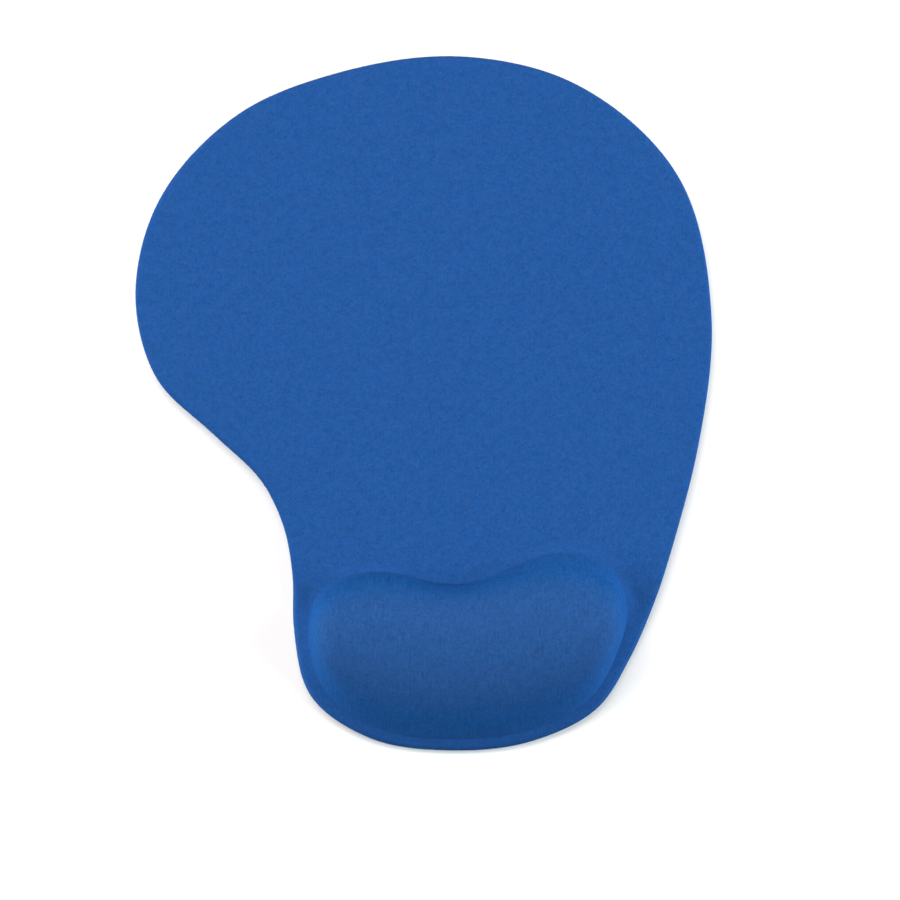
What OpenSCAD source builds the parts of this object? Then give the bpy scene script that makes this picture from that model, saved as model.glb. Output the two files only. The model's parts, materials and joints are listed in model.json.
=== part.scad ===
// Mouse mat with a built-in gel wrist rest, as the layers that it is laminated from.
// Origin on the desk, below the middle of the outline. X runs across, +Y away from the user, +Z up.

/* [Size] */
// Width of the mat, side to side
mat_w = 191; // [170:1:230]
// Length of the mat, from the user's edge to the far edge
mat_l = 230; // [205:1:280]
// Height of the rest's crest above the desk
rest_h = 20; // [15:0.5:26]

/* [Layers] */
// Thickness of the non-slip base sheet
base_t = 1.0; // [0.6:0.1:2]
// Thickness of each sheet of adhesive
glue_t = 0.1; // [0.05:0.01:0.2]
// Thickness of the foam core
foam_t = 1.8; // [1:0.1:3]
// Thickness of each plastic film
film_t = 0.15; // [0.1:0.01:0.3]
// Thickness of the knitted cover
cover_t = 0.5; // [0.3:0.05:0.8]

/* [Rim] */
// Width of the cover's solid lip, where it is pressed down on the base
lip_w = 1.2; // [1:0.1:1.6]
// Share of the cover's height at the rim that stands upright
lip_side_share = 0.4; // [0.2:0.05:0.5]
// Width of the rounding from the lip up to the flat of the mat
rim_w = 2.4; // [2:0.1:2.8]
// Fullness of that rounding (1 is a quarter of an ellipse, less is squarer)
rim_power = 0.8; // [0.6:0.05:1]

/* [Rest] */
// Widest stretch of mat that rises gently to the foot of the rest
apron_w = 5; // [3:0.5:6]
// Height gained over that stretch
apron_rise = 1.1; // [0.4:0.1:1.5]
// Share of the rest's width that its crest runs along
crest_share = 0.72; // [0.65:0.01:0.8]
// How far the crest falls towards each end
crest_fall = 0.5; // [0:0.5:3]
// Roundness of the steep side facing the mat (less is steeper at the foot)
front_round = 0.42; // [0.35:0.01:0.8]
// Roundness of the long slope under the wrist
back_round = 1.3; // [1:0.05:1.4]

/* [Smoothness] */
// Straight pieces from one outline point to the next
steps = 4; // [3:1:6]

/* [Hidden] */

// Points of the two outlines, counterclockwise from the middle of the user's edge:
// [mat x, mat y, foot of the rest x, y] for a mat of drawn_w x drawn_l
drawn_w = 191.2;
drawn_l = 230;
KNOTS = [
    [8, -114.9, 9, -111],
    [37, -111.5, 37, -107.5],
    [58, -100.5, 55, -97.5],
    [68.5, -84, 63.9, -81.6],
    [76, -67, 67, -70],
    [84, -42, 65.2, -60.2],
    [91, -14, 60, -53.2],
    [95.4, 29, 51, -49.5],
    [84, 76, 40, -50.2],
    [48, 107, 29, -54.2],
    [14, 114.9, 20, -58.2],
    [-28, 109.7, 15, -59.6],
    [-62, 95.6, 11, -59.9],
    [-90, 63, 7, -59.8],
    [-95.5, 31, 3, -59.2],
    [-88.5, 8, -1, -58.2],
    [-69.5, -10.5, -6, -56.9],
    [-53, -27, -15.5, -55.6],
    [-46.5, -41, -28, -58.5],
    [-43.6, -57, -35.8, -65],
    [-43.2, -74, -38.1, -74.7],
    [-37.5, -97, -33.2, -94.4],
    [-17.5, -111, -16, -107.5]
];
scale_x = mat_w / drawn_w;
scale_y = mat_l / drawn_l;

// Heights of the layers' upper faces where the mat is flat
glue_z = base_t + glue_t;
foam_z = glue_z + foam_t;
back_z = foam_z + glue_t + film_t;
mat_z = back_z + film_t + cover_t;
foot_z = mat_z + apron_rise;
// Top of the lip's upright side
side_z = mix(glue_z, mat_z, lip_side_share);

// How far the base's adhesive stops short of the edge
glue_gap = 0.3;

// The crest is a straight line across the rest, and its middle is the top
crest_x = 14.5 * scale_x;
crest_y = -76.5 * scale_y;
crest_half = 43 * scale_x;

// Distances from foot to crest between which the side turns from steep to long
short_run = 12.5;
long_run = 38;
// Power that sets how flat the rest is along its crest
crest_power = 2.45;
// Fractions of the way from foot to crest at which the rest is cut into rings
CUTS = [0, 0.05, 0.13, 0.25, 0.42, 0.62, 0.85];

mat_loop = smooth_loop([for (k = KNOTS) [k[0] * scale_x, k[1] * scale_y]]);
foot_loop = smooth_loop([for (k = KNOTS) [k[2] * scale_x, k[3] * scale_y]]);
count = len(mat_loop);
// Width of the gentle rise at each point, no more than a share of the room up to the rim
apron_room = 0.7;
APRON = [for (i = [0:count - 1])
    min(apron_w, apron_room * (norm(mat_loop[i] - foot_loop[i]) - rim_w))];

function unit(v) = v / norm(v);
function mix(a, b, t) = a + (b - a) * t;
function at(v, i) = v[(i + len(v)) % len(v)];

// Direction of a curve through the points v at point i, the nearer neighbour counting more
function heading(v, i) = let(back = at(v, i) - at(v, i - 1), on = at(v, i + 1) - at(v, i))
    (unit(back) * norm(on) + unit(on) * norm(back)) / (norm(on) + norm(back));

// Point at fraction t of the cubic from point i to the next one
function between(v, i, t) = let(p = at(v, i), q = at(v, i + 1), d = norm(q - p))
    mix(p, q, t * t * (3 - 2 * t))
    + t * (1 - t) * d * ((1 - t) * heading(v, i) - t * heading(v, i + 1));

function smooth_loop(v) =
    [for (i = [0:len(v) - 1], k = [0:steps - 1]) between(v, i, k / steps)];

// A closed loop moved by d towards its inside
function inset(loop, d) = [for (i = [0:len(loop) - 1])
    let(t = unit(at(loop, i + 1) - at(loop, i - 1))) loop[i] + d * [-t[1], t[0]]];

function raised(loop, z) = [for (p = loop) [p[0], p[1], z]];

// The point of the crest that foot point p climbs to
function crest_point(p) = [mix(crest_x, p[0], crest_share), crest_y];
function crest_z(x) = rest_h - crest_fall * pow((x - crest_x) / crest_half, 2);

// Share of the height gained at fraction t of the way to the crest
function climb(t, run) = pow(1 - pow(1 - t, crest_power),
    mix(front_round, back_round, max(0, min(1, (run - short_run) / (long_run - short_run)))));

// Ring of the rest at fraction t of the way to its crest, d under the outer skin
function rest_ring(t, d) = let(low = inset(foot_loop, d)) [for (i = [0:count - 1])
    let(top = crest_point(foot_loop[i]), p = mix(low[i], top, t))
    [p[0], p[1], mix(foot_z, crest_z(top[0]), climb(t, norm(foot_loop[i] - top))) - d]];

// Ring where the mat starts to rise (share 1) or part of the way up to the foot, d under the skin
function apron_ring(share, d) = [for (i = [0:count - 1])
    let(out = unit(mat_loop[i] - foot_loop[i]), p = foot_loop[i] + out * APRON[i] * share)
    [p[0], p[1], mat_z + apron_rise * pow(1 - share, 2) - d]];

// All rings of the raised part from the crest outwards, d under the outer skin
function rest_rings(d) = concat(
    [for (k = [len(CUTS) - 1:-1:0]) rest_ring(CUTS[k], d)],
    [apron_ring(0.5, d), apron_ring(1, d)]);
function crest_top(d) = [crest_x, crest_y, rest_h - d];
function reversed(v) = [for (i = [len(v) - 1:-1:0]) v[i]];

// Solid skinned over rings of equal count, closed by a fan to a point at each end
module skin(rings, first, last) {
    n = len(rings[0]);
    end = len(rings) * n;
    sides = [for (r = [0:len(rings) - 2], i = [0:n - 1])
        let(j = (i + 1) % n, a = r * n, b = a + n)
        each [[a + i, a + j, b + j], [a + i, b + j, b + i]]];
    caps = [for (i = [0:n - 1])
        let(j = (i + 1) % n) each [[end, j, i], [end + 1, end - n + i, end - n + j]]];
    polyhedron(points = concat([for (r = rings) each r], [first, last]),
        faces = concat(sides, caps), convexity = 6);
}

// Flat sheet of the mat's outline, d inside it
module flat_sheet(d, z, t) {
    translate([0, 0, z])
        linear_extrude(t)
            polygon(inset(mat_loop, d));
}

// Outer skin of the cover, from the crest out and down the rounded rim to the lip's underside
function cover_outside() = concat(rest_rings(0), [
    for (a = [90:-30:0])
        raised(inset(mat_loop, rim_w * (1 - pow(cos(a), rim_power))),
            mix(side_z, mat_z, pow(sin(a), rim_power))),
    raised(mat_loop, glue_z)]);

// A skin under the cover, from the crest out and straight down at distance w inside the rim
function under_skin(d, w) = concat(rest_rings(d), [
    raised(inset(mat_loop, w), mat_z - d),
    raised(inset(mat_loop, w), glue_z)]);

module base_sheet() {
    color([0.07, 0.07, 0.08])
        flat_sheet(0, 0, base_t);
}

module base_adhesive() {
    color([0.85, 0.8, 0.6])
        flat_sheet(glue_gap, base_t, glue_t);
}

module foam_core() {
    color([0.2, 0.2, 0.22])
        flat_sheet(lip_w + film_t, glue_z, foam_t);
}

module top_adhesive() {
    color([0.85, 0.8, 0.6])
        flat_sheet(lip_w + film_t, foam_z, glue_t);
}

module gel_backing_film() {
    color([0.75, 0.8, 0.85])
        flat_sheet(lip_w + film_t, foam_z + glue_t, film_t);
}

module gel_core() {
    color([0.55, 0.75, 0.9])
        skin(rest_rings(cover_t + film_t), crest_top(cover_t + film_t), [crest_x, crest_y, back_z]);
}

module cover_film() {
    color([0.6, 0.7, 0.85])
        skin(concat(under_skin(cover_t, lip_w), reversed(under_skin(cover_t + film_t, lip_w + film_t))),
            crest_top(cover_t), crest_top(cover_t + film_t));
}

module fabric_cover() {
    color([0.1, 0.3, 0.62])
        skin(concat(cover_outside(), reversed(under_skin(cover_t, lip_w))),
            crest_top(0), crest_top(cover_t));
}

base_sheet();
base_adhesive();
foam_core();
top_adhesive();
gel_backing_film();
gel_core();
cover_film();
fabric_cover();
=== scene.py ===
# Mouse mat with a built-in gel wrist rest. Metres, in the CAD model's frame.
import json
import math

import bpy
import numpy as np
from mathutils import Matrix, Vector
from mathutils.geometry import delaunay_2d_cdt


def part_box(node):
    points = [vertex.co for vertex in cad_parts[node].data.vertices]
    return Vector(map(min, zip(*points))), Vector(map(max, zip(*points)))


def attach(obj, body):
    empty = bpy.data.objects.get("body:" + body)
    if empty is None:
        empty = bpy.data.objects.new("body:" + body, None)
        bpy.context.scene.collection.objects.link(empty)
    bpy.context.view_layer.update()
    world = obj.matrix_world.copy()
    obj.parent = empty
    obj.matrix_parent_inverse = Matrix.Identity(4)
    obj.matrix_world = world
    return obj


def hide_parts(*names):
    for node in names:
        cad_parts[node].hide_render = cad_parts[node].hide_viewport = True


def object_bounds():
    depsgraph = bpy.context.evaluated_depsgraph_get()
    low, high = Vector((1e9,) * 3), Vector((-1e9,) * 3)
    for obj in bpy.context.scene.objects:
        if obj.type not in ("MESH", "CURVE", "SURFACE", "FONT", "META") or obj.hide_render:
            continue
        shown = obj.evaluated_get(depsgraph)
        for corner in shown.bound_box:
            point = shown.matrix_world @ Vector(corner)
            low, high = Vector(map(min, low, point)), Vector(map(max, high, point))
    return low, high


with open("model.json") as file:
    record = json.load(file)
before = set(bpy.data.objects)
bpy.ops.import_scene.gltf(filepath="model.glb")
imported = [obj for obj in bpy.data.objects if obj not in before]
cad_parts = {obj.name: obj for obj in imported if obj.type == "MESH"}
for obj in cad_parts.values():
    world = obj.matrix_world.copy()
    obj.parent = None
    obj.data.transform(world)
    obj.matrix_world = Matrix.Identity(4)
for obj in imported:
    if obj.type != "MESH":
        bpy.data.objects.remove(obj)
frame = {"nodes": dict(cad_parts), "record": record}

CAD_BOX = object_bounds()
MM = 0.001

# ---------------------------------------------------------------- sizes, in millimetres

# The same outline points as in the CAD: mat x, y and foot of the rest x, y
KNOTS = np.array([
    [8, -114.9, 9, -111], [37, -111.5, 37, -107.5], [58, -100.5, 55, -97.5],
    [68.5, -84, 63.9, -81.6], [76, -67, 67, -70], [84, -42, 65.2, -60.2],
    [91, -14, 60, -53.2], [95.4, 29, 51, -49.5], [84, 76, 40, -50.2],
    [48, 107, 29, -54.2], [14, 114.9, 20, -58.2], [-28, 109.7, 15, -59.6],
    [-62, 95.6, 11, -59.9], [-90, 63, 7, -59.8], [-95.5, 31, 3, -59.2],
    [-88.5, 8, -1, -58.2], [-69.5, -10.5, -6, -56.9], [-53, -27, -15.5, -55.6],
    [-46.5, -41, -28, -58.5], [-43.6, -57, -35.8, -65], [-43.2, -74, -38.1, -74.7],
    [-37.5, -97, -33.2, -94.4], [-17.5, -111, -16, -107.5],
], float)
SPAN = 16  # points from one knot to the next


def top_of(node):
    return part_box(node)[1][2] / MM


BASE_Z = top_of("base_sheet")
GLUE_Z = top_of("base_adhesive")
BACK_Z = top_of("gel_backing_film")
CREST_Z = top_of("fabric_cover")
COVER_T = CREST_Z - top_of("cover_film")
FILM_T = top_of("cover_film") - top_of("gel_core")
MAT_Z = BACK_Z + FILM_T + COVER_T
MAT_W = (CAD_BOX[1][0] - CAD_BOX[0][0]) / MM
MAT_L = (CAD_BOX[1][1] - CAD_BOX[0][1]) / MM

# Inner wall of the cover, in from the edge: less than the CAD's, to clear the foam's coarser outline
LIP_W = 1.0
WALL_ROOM = 0.1  # how far past that wall the cover's slope bends
KNEE_ROOM = 0.2  # cover left above the film's corner there
RIM_W, RIM_POWER, RIM_TURNS = 2.4, 0.8, 9  # width, squareness and rings of the rounded rim
LIP_SIDE = 0.4  # share of the edge's height that stands straight

# Apron: the strip where the mat starts to rise towards the foot of the rest
APRON_W, APRON_RISE, APRON_ROOM = 5.0, 1.1, 0.7
CREST_X, CREST_Y, CREST_HALF = 14.5, -76.5, 43.0
CREST_SHARE = 0.72  # length of the crest over the length of the rest
CREST_FALL = 0.5  # drop of the crest towards its ends
CREST_POWER = 2.45
CREST_STOP = 0.985  # last ring, as a share of the way up; a flat fill closes the rest
RING_CROWD = 1.6  # rings stand closer together near the foot
FRONT_ROUND, BACK_ROUND = 0.42, 1.3  # roundness of a steep short side and of a long one
SHORT_RUN, LONG_RUN = 12.5, 38.0  # widths from foot to crest at which those hold
FOOT_Z = MAT_Z + APRON_RISE
SIDE_Z = GLUE_Z + (MAT_Z - GLUE_Z) * LIP_SIDE
RUN_OUT_ALL, RUN_OUT_NONE = 5.4, 12.0  # margins at which the slope runs out fully, and not at all
CREASE, END_CURVE = 0.08, 0.85  # length of the curve at the foot, and what the ends add to it
MAT_SMOOTHING, FOOT_SMOOTHING = 3, 24
ROW = 0.87  # spacing of staggered rows over that of the points in them


# ---------------------------------------------------------------- outline and skin

def unit(v):
    return v / np.linalg.norm(v, axis=-1, keepdims=True)


def smooth_loop(points):
    """Closed curve through the points: cubics whose headings favour the nearer neighbour."""
    on = np.roll(points, -1, 0) - points
    back = np.roll(on, 1, 0)
    a, b = np.linalg.norm(back, axis=1)[:, None], np.linalg.norm(on, axis=1)[:, None]
    head = (unit(back) * b + unit(on) * a) / (a + b)
    t = (np.arange(SPAN) / SPAN)[None, :, None]
    p, q = points[:, None], np.roll(points, -1, 0)[:, None]
    h, g = head[:, None], np.roll(head, -1, 0)[:, None]
    curve = p + (q - p) * t * t * (3 - 2 * t) + t * (1 - t) * b[:, None] * ((1 - t) * h - t * g)
    return curve.reshape(-1, points.shape[1])


def relaxed(loop, times):
    for _ in range(times):
        loop = (np.roll(loop, 1, 0) + 2 * loop + np.roll(loop, -1, 0)) / 4
    return loop


def inset(loop, d):
    """The loop moved inwards by d."""
    t = unit(np.roll(loop, -1, 0) - np.roll(loop, 1, 0))
    return loop + d * np.stack([-t[:, 1], t[:, 0]], 1)


MAT = relaxed(smooth_loop(KNOTS[:, :2]), MAT_SMOOTHING)
MAT -= (MAT.max(0) + MAT.min(0)) / 2
MAT *= np.array([MAT_W, MAT_L]) / (MAT.max(0) - MAT.min(0))
MAT += (np.array(CAD_BOX[0]) + CAD_BOX[1])[:2] / 2 / MM
FOOT = relaxed(smooth_loop(KNOTS[:, 2:]), FOOT_SMOOTHING)
COUNT = len(MAT)
CREST = np.stack([CREST_X + (FOOT[:, 0] - CREST_X) * CREST_SHARE, np.full(COUNT, CREST_Y)], 1)
RUN = np.linalg.norm(FOOT - CREST, axis=1)
GAP = np.linalg.norm(MAT - FOOT, axis=1)
APRON = np.minimum(APRON_W, APRON_ROOM * (GAP - RIM_W))
# Length over which the side curves up from the mat: a sharp crease in front, rounder at the ends
FILLET = CREASE + END_CURVE * unit(FOOT - CREST)[:, 0] ** 4


def with_z(loop, z):
    return np.column_stack([loop, np.broadcast_to(z, len(loop))])


def climb(t):
    """Share of the height gained at fraction t of the way from foot to crest."""
    way = np.clip((RUN - SHORT_RUN) / (LONG_RUN - SHORT_RUN), 0, 1)
    way = way * way * (3 - 2 * way) * 0.5 + way * 0.5
    rise = (1 - (1 - t) ** CREST_POWER) ** (FRONT_ROUND + (BACK_ROUND - FRONT_ROUND) * way)
    return rise * (1 - np.exp(-t * RUN / FILLET))


def rest_ring(t, depth):
    low = inset(FOOT, depth)
    xy = low + (CREST - low) * t
    crest_z = CREST_Z - CREST_FALL * ((CREST[:, 0] - CREST_X) / CREST_HALF) ** 2
    return with_z(xy, FOOT_Z + (crest_z - FOOT_Z) * climb(t) - depth)


def run_out(d, z):
    """Height of the outer face at distance d from the edge: where the margin beside the rest
    is narrow it slopes straight out to the edge instead of lying flat."""
    narrow = np.clip((RUN_OUT_NONE - GAP) / (RUN_OUT_NONE - RUN_OUT_ALL), 0, 1)
    narrow = narrow * narrow * (3 - 2 * narrow)
    wall = LIP_W + WALL_ROOM
    knee = MAT_Z - COVER_T + KNEE_ROOM
    ramp = np.where(d < wall, SIDE_Z + (knee - SIDE_Z) * d / wall,
                    knee + (FOOT_Z - knee) * (d - LIP_W - WALL_ROOM) / np.maximum(GAP - LIP_W - WALL_ROOM, 1))
    return z + (ramp - z) * narrow


def apron_ring(share, depth):
    xy = FOOT + unit(MAT - FOOT) * (APRON * share)[:, None]
    z = MAT_Z + APRON_RISE * (1 - share) ** 2 - depth
    return with_z(xy, z if depth else run_out(GAP - APRON * share, z))


SETTLED = None  # how far the cloth simulation moves each column of the rest's skin


def lengths(columns):
    """Fraction of its own length at which each point of each column lies."""
    step = np.linalg.norm(np.diff(columns, axis=0), axis=2)
    run = np.vstack([np.zeros(columns.shape[1]), np.cumsum(step, 0)])
    return run / run[-1]


def settle(rest, depth):
    """Moves the rest's rings as the simulated cover moves, and keeps its height."""
    if SETTLED is None:
        return rest
    moves, keep = SETTLED
    where, at = lengths(rest), np.linspace(0, 1, len(moves))
    out = rest.copy()
    for k in range(COUNT):
        for axis in range(3):
            out[:, k, axis] += np.interp(where[:, k], at, moves[:, k, axis])
    low = FOOT_Z - depth
    out[:, :, 2] = low + (out[:, :, 2] - low) * keep
    return out


def raised_part(depth, climbs, aprons, soften):
    """Rings from the flat of the mat in to the crest, at a depth under the outer skin."""
    rings = [apron_ring(s, depth) for s in np.linspace(1, 0, aprons, endpoint=False)]
    rings += [rest_ring(t, depth) for t in np.linspace(0, CREST_STOP, climbs) ** RING_CROWD]
    grid = np.array(rings)
    for _ in range(soften):
        mid = (grid[:-2] + 2 * grid[1:-1] + grid[2:]) / 4
        grid[2:-1] = mid[1:]
    grid[aprons:] = settle(grid[aprons:], depth)
    return list(grid)


def rim_rings():
    """Outer face of the edge, from the base up and over the rounded rim."""
    rings = [with_z(MAT, GLUE_Z), with_z(MAT, (GLUE_Z + SIDE_Z) / 2)]
    for k in range(RIM_TURNS + 1):
        a = math.pi / 2 * k / RIM_TURNS
        d = RIM_W * (1 - math.cos(a) ** RIM_POWER)
        z = SIDE_Z + (MAT_Z - SIDE_Z) * math.sin(a) ** RIM_POWER
        rings.append(with_z(inset(MAT, d), run_out(d, z)))
    return rings


# ---------------------------------------------------------------- meshes

class Builder:
    """Collects rings and fills of points, and makes one object of them."""

    def __init__(self):
        self.points, self.faces = [], []

    def add(self, ring):
        start = len(self.points)
        self.points += [tuple(p) for p in ring]
        return list(range(start, start + len(ring)))

    def strip(self, a, b, flip=False):
        n = len(a)
        for i in range(n):
            j = (i + 1) % n
            f = (a[i], a[j], b[j], b[i])
            self.faces.append(f[::-1] if flip else f)

    def rings(self, rings, flip=False):
        ids = [self.add(rings[0])]
        for r in rings[1:]:
            ids.append(self.add(r))
            self.strip(ids[-2], ids[-1], flip)
        return ids[0], ids[-1]

    def fill(self, outer, inner, spacing, flip=False, height=None):
        """Triangles between two rings, or inside one, with points on a staggered grid."""
        border = [self.points[i][:2] for i in outer] + [self.points[i][:2] for i in inner or []]
        ring = np.array([self.points[i] for i in outer])
        z = ring[:, 2].mean() if height is None else None
        extra = []
        if spacing:
            low, high = ring[:, :2].min(0), ring[:, :2].max(0)
            near = np.array(border)
            y, row = low[1], 0
            while y < high[1]:
                x = low[0] + (row % 2) * spacing / 2
                while x < high[0]:
                    p = np.array([x, y])
                    if (within(ring[:, :2], p) and not (inner and within(
                            np.array([self.points[i][:2] for i in inner]), p))
                            and np.hypot(*(near - p).T).min() > 0.6 * spacing):
                        extra.append((x, y))
                    x += spacing
                y += spacing * ROW
                row += 1
        n, m = len(outer), len(inner or [])
        edges = [(i, (i + 1) % n) for i in range(n)] + [(n + i, n + (i + 1) % m) for i in range(m)]
        coords = [Vector(p) for p in border + extra]
        out = delaunay_2d_cdt(coords, edges, [], 0, 1e-9)
        verts, faces, source = out[0], out[2], out[3]
        ids = list(outer) + list(inner or [])
        place = {}
        for k, v in enumerate(verts):
            orig = [s for s in source[k] if s < n + m]
            if orig:
                place[k] = ids[orig[0]]
            else:
                zz = height(v.x, v.y) if height else z
                place[k] = self.add([(v.x, v.y, zz)])[0]
        hole = np.array([self.points[i][:2] for i in inner]) if inner else None
        for f in faces:
            c = np.mean([[verts[k].x, verts[k].y] for k in f], 0)
            if not within(ring[:, :2], c) or (inner and within(hole, c)):
                continue
            g = [place[k] for k in f]
            self.faces.append(g[::-1] if flip else g)

    def object(self, name):
        mesh = bpy.data.meshes.new(name)
        mesh.from_pydata([(x * MM, y * MM, z * MM) for x, y, z in self.points], [], self.faces)
        mesh.validate()
        mesh.polygons.foreach_set("use_smooth", [True] * len(mesh.polygons))
        mesh.update()
        obj = bpy.data.objects.new(name, mesh)
        bpy.context.scene.collection.objects.link(obj)
        return obj


def within(loop, p):
    """Whether the point is inside the closed loop."""
    x, y = loop[:, 0], loop[:, 1]
    nx, ny = np.roll(x, -1), np.roll(y, -1)
    cross = (y > p[1]) != (ny > p[1])
    at = x + (p[1] - y) * (nx - x) / np.where(ny == y, 1e-12, ny - y)
    return bool((cross & (p[0] < at)).sum() % 2)


# Rings up the side, rings over the apron and smoothing passes: finer on the visible skin, and
# one set for every hidden face, so that two faces that lie together are the same surface
SKIN, HIDDEN = (56, 10, 6), (28, 5, 3)


def shell(name, outer_depth, inner_depth, outer_rim, inner_rim, spacing):
    """Closed sheet between two depths, from the crest down to where it is pressed on the base."""
    b = Builder()
    lip = None
    for depth, rim, flip in ((outer_depth, outer_rim, False), (inner_depth, inner_rim, True)):
        first, last = b.rings(rim, flip)
        apron, crest = b.rings(raised_part(depth, *(HIDDEN if depth else SKIN)), flip)
        b.fill(last, apron, 0 if depth else spacing, flip, lambda x, y: MAT_Z)
        b.fill(crest, None, 0, flip)
        if lip is None:
            lip = first
        else:
            b.strip(lip, first, True)
    return b.object(name)


# ---------------------------------------------------------------- cloth simulation of the cover

SIM_RINGS, SIM_FRAMES = 26, 20
SIM_SCALE = 10.0  # the solver is steadier on a piece about a metre wide
MOST_MOVE = 1.2  # no point moves farther than this, before the crest is brought back to its height
SIM_CLOTH = {
    "quality": 6, "mass": 0.3, "bending_stiffness": 0.5, "shear_stiffness": 4,
    "tension_stiffness": 8, "compression_stiffness": 8,
    "use_pressure": True, "uniform_pressure_force": 40,
}


def cloth_moves():
    """Moves of the cover over the rest, held along its foot and pushed out by pressure, and the
    scale that keeps its height. Every second column is simulated."""
    rest = np.array(raised_part(0, *SKIN))[SKIN[1]:]
    where = lengths(rest)
    start = np.zeros((SIM_RINGS, COUNT, 3))
    for k in range(COUNT):
        for axis in range(3):
            start[:, k, axis] = np.interp(np.linspace(0, 1, SIM_RINGS), where[:, k], rest[:, k, axis])
    coarse = start[:, ::2]
    b = Builder()
    first, crest = b.rings(list(coarse * SIM_SCALE))
    b.fill(crest, None, 0)
    obj = b.object("cover_sim")
    pin = obj.vertex_groups.new(name="pin")
    pin.add(first, 1.0, "REPLACE")
    cloth = obj.modifiers.new("cloth", "CLOTH")
    for key, value in SIM_CLOTH.items():
        setattr(cloth.settings, key, value)
    cloth.settings.effector_weights.gravity = 0
    cloth.settings.vertex_group_mass = "pin"
    cloth.collision_settings.use_collision = False
    scene = bpy.context.scene
    for frame_no in range(1, SIM_FRAMES + 1):
        scene.frame_set(frame_no)
    moved = obj.evaluated_get(bpy.context.evaluated_depsgraph_get()).to_mesh()
    co = np.empty(3 * len(moved.vertices))
    moved.vertices.foreach_get("co", co)
    now = co.reshape(-1, 3)[:coarse.shape[0] * coarse.shape[1]] / (MM * SIM_SCALE)
    mesh = obj.data
    bpy.data.objects.remove(obj)
    bpy.data.meshes.remove(mesh)
    scene.frame_set(1)
    move = now.reshape(coarse.shape) - coarse
    size = np.linalg.norm(move, axis=2, keepdims=True)
    move *= MOST_MOVE / (MOST_MOVE + size)
    full = np.zeros_like(start)
    full[:, ::2] = move
    full[:, 1::2] = (move + np.roll(move, -1, 1)) / 2
    full = full.round(3)
    top = (start + full)[:, :, 2].max()
    return full, (CREST_Z - FOOT_Z) / (top - FOOT_Z)


SETTLED = cloth_moves()


# ---------------------------------------------------------------- pieces

MAT_GRID, GEL_GRID = 3.5, 4  # spacing of points on the flat of the mat and under the gel


def wall_rings(d, top):
    """Straight wall at distance d from the edge, from the base up to top."""
    return [with_z(inset(MAT, d), GLUE_Z), with_z(inset(MAT, d), top)]


knit = shell("knit_cover", 0, COVER_T, rim_rings(), wall_rings(LIP_W, MAT_Z - COVER_T), MAT_GRID)
film = shell("film_skin", COVER_T, COVER_T + FILM_T, wall_rings(LIP_W, MAT_Z - COVER_T),
             wall_rings(LIP_W + FILM_T, BACK_Z), 0)


def gel_pad():
    """Gel: fills the space under the film, flat where it lies on the backing film."""
    b = Builder()
    rings = raised_part(COVER_T + FILM_T, *HIDDEN)
    first, crest = b.rings(rings)
    b.fill(crest, None, 0)
    b.fill(first, None, GEL_GRID, True)
    return b.object("gel_pad")


gel = gel_pad()


DIMPLE_PITCH, DIMPLE_DEPTH, DIMPLE_MARGIN = 2.2, 0.4, 3.5


def grip_sheet():
    """Non-slip sheet: softened lower edge, and shallow dimples moulded into its underside."""
    b = Builder()
    rings = [with_z(inset(MAT, 0.5), 0), with_z(inset(MAT, 0.15), 0.1), with_z(MAT, 0.4),
             with_z(MAT, BASE_Z)]
    first, last = b.rings(rings)
    b.fill(last, None, 0)
    start = np.array([b.points[i] for i in first])[:, :2]
    low = start.min(0)

    def dimple(x, y):
        row = round((y - low[1]) / (DIMPLE_PITCH * ROW))
        col = round((x - low[0] - (row % 2) * DIMPLE_PITCH / 2) / DIMPLE_PITCH)
        inside = np.hypot(*(start - (x, y)).T).min() > DIMPLE_MARGIN
        return DIMPLE_DEPTH if inside and (col - row // 2 - row) % 3 == 0 else 0.0

    b.fill(first, None, DIMPLE_PITCH, True, dimple)
    return b.object("grip_sheet")


base = grip_sheet()


# ---------------------------------------------------------------- materials

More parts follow.
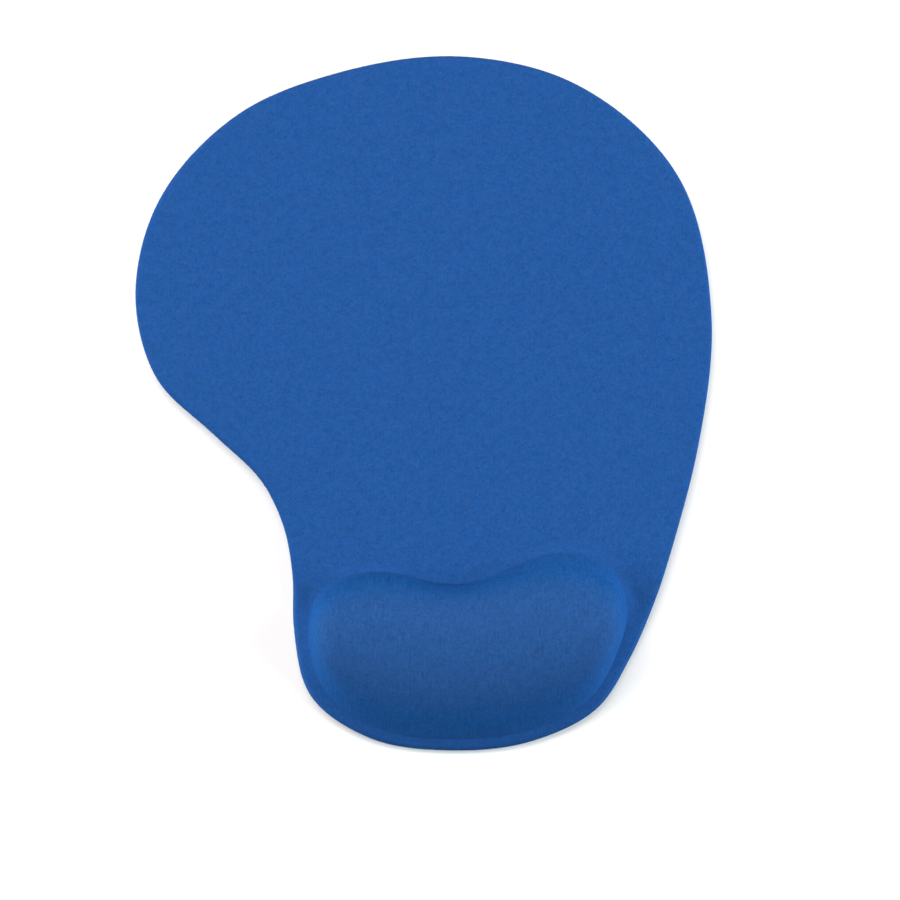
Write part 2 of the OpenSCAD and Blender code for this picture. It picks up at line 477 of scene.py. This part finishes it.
class Nodes:
    """A material's node tree, built by short calls."""

    def __init__(self, name):
        self.mat = bpy.data.materials.new(name)
        self.mat.use_nodes = True
        self.tree = self.mat.node_tree
        self.tree.nodes.clear()
        self.out = self.new("ShaderNodeOutputMaterial")
        self.shader = self.new("ShaderNodeBsdfPrincipled")
        self.link(self.shader.outputs[0], self.out.inputs["Surface"])

    def new(self, kind):
        return self.tree.nodes.new(kind)

    def link(self, a, b):
        self.tree.links.new(a, b)

    def set(self, **values):
        for key, value in values.items():
            self.shader.inputs[key.replace("_", " ").title().replace("Ior", "IOR")].default_value = value

    def coords(self, scale):
        tex = self.new("ShaderNodeTexCoord")
        mapping = self.new("ShaderNodeMapping")
        mapping.inputs["Scale"].default_value = scale
        self.link(tex.outputs["Object"], mapping.inputs["Vector"])
        return mapping.outputs[0]

    def noise(self, scale, detail=2.0, vector=None, rough=0.5):
        node = self.new("ShaderNodeTexNoise")
        node.inputs["Scale"].default_value = scale
        node.inputs["Detail"].default_value = detail
        node.inputs["Roughness"].default_value = rough
        self.link(vector or self.coords((1, 1, 1)), node.inputs["Vector"])
        return node.outputs["Fac"]

    def math(self, op, a, b=None, c=None):
        node = self.new("ShaderNodeMath")
        node.operation = op
        for i, v in enumerate((a, b, c)):
            if v is None:
                continue
            if isinstance(v, (int, float)):
                node.inputs[i].default_value = v
            else:
                self.link(v, node.inputs[i])
        return node.outputs[0]

    def vector(self, op, inputs):
        """Vector maths; inputs gives a socket or a constant for each input's number or name."""
        node = self.new("ShaderNodeVectorMath")
        node.operation = op
        for key, v in inputs.items():
            if isinstance(v, tuple):
                node.inputs[key].default_value = v
            else:
                self.link(v, node.inputs[key])
        return node.outputs[0]

    def span(self, value, low, high, to_low=0.0, to_high=1.0):
        node = self.new("ShaderNodeMapRange")
        node.inputs["From Min"].default_value = low
        node.inputs["From Max"].default_value = high
        node.inputs["To Min"].default_value = to_low
        node.inputs["To Max"].default_value = to_high
        self.link(value, node.inputs["Value"])
        return node.outputs["Result"]

    def mix(self, fac, a, b):
        node = self.new("ShaderNodeMix")
        node.data_type = "RGBA"
        for socket, v in ((node.inputs[0], fac), (node.inputs[6], a), (node.inputs[7], b)):
            if isinstance(v, (int, float)):
                socket.default_value = v
            elif isinstance(v, tuple):
                socket.default_value = (*v, 1.0)
            else:
                self.link(v, socket)
        return node.outputs[2]

    def bump(self, height, strength, distance):
        node = self.new("ShaderNodeBump")
        node.inputs["Strength"].default_value = strength
        node.inputs["Distance"].default_value = distance
        self.link(height, node.inputs["Height"])
        self.link(node.outputs[0], self.shader.inputs["Normal"])


WALE, COURSE = 0.46 * MM, 0.38 * MM  # width and height of one loop of the knit
FLAT_DYE = (0.0128, 0.0685, 0.239)
# painted shade: the deeper, bluer colour that the steep sides of the rest take on
SIDE_SHADE_COLOUR = (0.0085, 0.0665, 0.232)
TOP_DYE = (0.0160, 0.0675, 0.217)
DARKEST = 0.002


def knit_material():
    """Fine lycra knit: columns of small loops along Y, mottled, and streaked where it is stretched; painted
    shade deepens the steep sides of the rest and the foot of the rounded rim.
    """
    n = Nodes("blue_knit")
    n.set(roughness=0.8, specular_ior_level=0.03)
    place = n.new("ShaderNodeTexCoord").outputs["Object"]
    warp = n.new("ShaderNodeTexNoise")
    warp.inputs["Scale"].default_value = 180
    n.link(place, warp.inputs["Vector"])
    wander = (0.0003,) * 3  # how far the loops stray from a straight column
    shift = n.vector("MULTIPLY_ADD", {0: warp.outputs["Color"], 1: wander, 2: place})
    xyz = n.new("ShaderNodeSeparateXYZ")
    n.link(shift, xyz.inputs[0])
    x, y, z = xyz.outputs

    wale = n.math("FRACT", n.math("MULTIPLY", x, 1 / WALE))
    side = n.math("ABSOLUTE", n.math("SUBTRACT", n.math("MULTIPLY", wale, 2.0), 1.0))
    course = n.math("ADD", n.math("MULTIPLY", y, 1 / COURSE), n.math("MULTIPLY", side, 0.55))
    leg = n.math("MULTIPLY_ADD", n.math("SINE", n.math("MULTIPLY", course, 2 * math.pi)), 0.3, 0.7)
    loop = n.math("MULTIPLY", n.math("SUBTRACT", 1.0, n.math("POWER", side, 3.0)), leg)

    # the knit stretched over the rest, from the foot up; the same mask brings in the painted shade of the
    # rest's sides
    stretch_and_shade = n.span(z, (MAT_Z + 0.8) * MM, (MAT_Z + 4.0) * MM)
    # painted shade: the knit darkens to 0.55 of its colour low on the rounded rim, for the shade along the
    # mat's edge
    lip = n.span(z, 1.3 * MM, 2.5 * MM, 0.55, 1.0)
    fine = n.noise(1500, 2, rough=0.6)
    coarse = n.noise(420, 3)
    streak = n.noise(1.0, 2, n.coords((1500, 230, 1)))
    tone = n.math("MULTIPLY_ADD", n.math("SUBTRACT", fine, 0.5), 0.5, 1.0)
    tone = n.math("MULTIPLY_ADD", n.math("SUBTRACT", coarse, 0.5), 0.28, tone)
    patch = n.span(n.noise(150, 2), 0.38, 0.62, 0.15, 1.5)
    drawn = n.math("MULTIPLY", n.math("MULTIPLY", n.math("SUBTRACT", streak, 0.5), stretch_and_shade), patch)
    tone = n.math("MULTIPLY_ADD", drawn, 0.45, tone)
    tone = n.math("MULTIPLY", tone, n.math("MULTIPLY_ADD", loop, 0.22, 0.89))
    # painted shade low on the rounded rim
    tone = n.math("MULTIPLY", tone, lip)
    # painted shade: deepest and bluest on the steep sides of the rest; palest where it is drawn thin over the
    # top of the rest
    top = n.span(z, 11.0 * MM, 17.5 * MM)
    dye = n.mix(top, n.mix(stretch_and_shade, FLAT_DYE, SIDE_SHADE_COLOUR), TOP_DYE)
    colour = n.vector("SCALE", {0: dye, "Scale": tone})
    # loose fibre ends catch the light here and there
    fuzz = n.span(n.noise(1150, 2, n.coords((1, 1, 1.3))), 0.35, 0.7, -0.0035, 0.0045)
    pale = n.vector("ADD", {0: colour, 1: fuzz})
    n.link(n.vector("MAXIMUM", {0: pale, 1: (DARKEST,) * 3}), n.shader.inputs["Base Color"])
    relief = n.math("MULTIPLY_ADD", loop, 0.6, n.math("MULTIPLY", fine, 0.4))
    n.bump(relief, 0.35, 0.00012)
    return n.mat


def plain_material(name, colour, dark, scale, relief=0.2, **settings):
    n = Nodes(name)
    n.set(**settings)
    value = n.noise(scale, 4)
    n.link(n.mix(n.span(value, 0.3, 0.7), dark, colour), n.shader.inputs["Base Color"])
    n.bump(value, relief, 0.0002)
    return n.mat


MATERIALS = {
    "blue_knit": knit_material(),
    "clear_film": plain_material("clear_film", (0.55, 0.62, 0.7), (0.5, 0.58, 0.66), 60, roughness=0.2),
    "gel": plain_material("gel", (0.35, 0.55, 0.75), (0.3, 0.5, 0.7), 40, roughness=0.15),
    "foam": plain_material("foam", (0.03, 0.03, 0.035), (0.015, 0.015, 0.018), 900, roughness=0.95),
    "hot_melt": plain_material("hot_melt", (0.7, 0.65, 0.5), (0.6, 0.55, 0.4), 200, roughness=0.4),
    "non_slip_base": plain_material("non_slip_base", (0.02, 0.02, 0.023), (0.012, 0.012, 0.014), 300,
                                    relief=0.06, roughness=0.6),
}


def finish_piece(obj, slot):
    obj.data.materials.clear()
    obj.data.materials.append(MATERIALS[slot])


for obj, slot, node in ((knit, "blue_knit", "fabric_cover"), (film, "clear_film", "cover_film"),
                        (gel, "gel", "gel_core"), (base, "non_slip_base", "base_sheet")):
    finish_piece(obj, slot)
    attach(obj, "root")
    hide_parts(node)

SLOTS = {s["node"]: s["material_slot"] for s in frame["record"]["subparts"]}
for name in ("base_adhesive", "foam_core", "top_adhesive", "gel_backing_film"):
    layer, material = frame["nodes"][name], MATERIALS[SLOTS[name]]
    if not len(layer.material_slots):
        layer.data.materials.append(material)
    for place in layer.material_slots:
        place.material = material


# ---------------------------------------------------------------- floor, lights and camera

def floor():
    mesh = bpy.data.meshes.new("floor")
    s, z = FLOOR_HALF, -FLOOR_DROP
    mesh.from_pydata([(-s, -s, z), (s, -s, z), (s, s, z), (-s, s, z)], [], [(0, 1, 2, 3)])
    obj = bpy.data.objects.new("floor", mesh)
    bpy.context.scene.collection.objects.link(obj)
    n = Nodes("floor")
    n.set(roughness=0.9, specular_ior_level=0.0)
    n.shader.inputs["Base Color"].default_value = (FLOOR_ALBEDO,) * 3 + (1,)
    mesh.materials.append(n.mat)


FLOOR_HALF, FLOOR_DROP = 3.0, 0.1 * MM
FLOOR_ALBEDO = 0.95
FLAT_LIGHT = 1.6 * math.pi / FLOOR_ALBEDO  # light on a level surface: the floor comes out pure white
SKY_SHARE = 0.04


def light(name, azimuth, elevation, distance, size, share, colour):
    """Softbox aimed at the mat; share is its part of the light on a level surface."""
    a, e = math.radians(azimuth), math.radians(elevation)
    place = distance * Vector((math.sin(a) * math.cos(e), math.cos(a) * math.cos(e), math.sin(e)))
    data = bpy.data.lights.new(name, "AREA")
    data.shape = "RECTANGLE"
    data.size, data.size_y = size
    data.color = colour
    data.energy = share * FLAT_LIGHT * math.pi * distance ** 2 / math.sin(e)
    obj = bpy.data.objects.new(name, data)
    obj.location = place
    obj.rotation_euler = (-place).to_track_quat("-Z", "Y").to_euler()
    bpy.context.scene.collection.objects.link(obj)


floor()
light("key", -25, 47, 1.5, (1.5, 1.1), 0.37, (1.16, 1.0, 0.93))
light("right", 90, 23, 1.2, (0.7, 0.5), 0.33, (0.9, 1.0, 1.04))
light("left", -90, 23, 1.2, (0.7, 0.5), 0.28, (0.9, 1.0, 1.04))

world = bpy.data.worlds.new("studio")
world.use_nodes = True
world.node_tree.nodes["Background"].inputs[0].default_value = (1, 1, 1, 1)
world.node_tree.nodes["Background"].inputs[1].default_value = SKY_SHARE * FLAT_LIGHT / math.pi
scene = bpy.context.scene
scene.world = world
scene.view_settings.view_transform = "Standard"

VIEW_W = 0.2988  # width of desk that the picture spans
VIEW_AT = (0.0086, -0.0154)
LENS, SENSOR = 100.0, 36.0
camera = bpy.data.cameras.new("camera")
camera.lens, camera.sensor_width = LENS, SENSOR
camera.clip_start, camera.clip_end = 0.01, 20
cam = bpy.data.objects.new("camera", camera)
cam.location = (*VIEW_AT, VIEW_W * LENS / SENSOR)
bpy.context.scene.collection.objects.link(cam)
scene.camera = cam
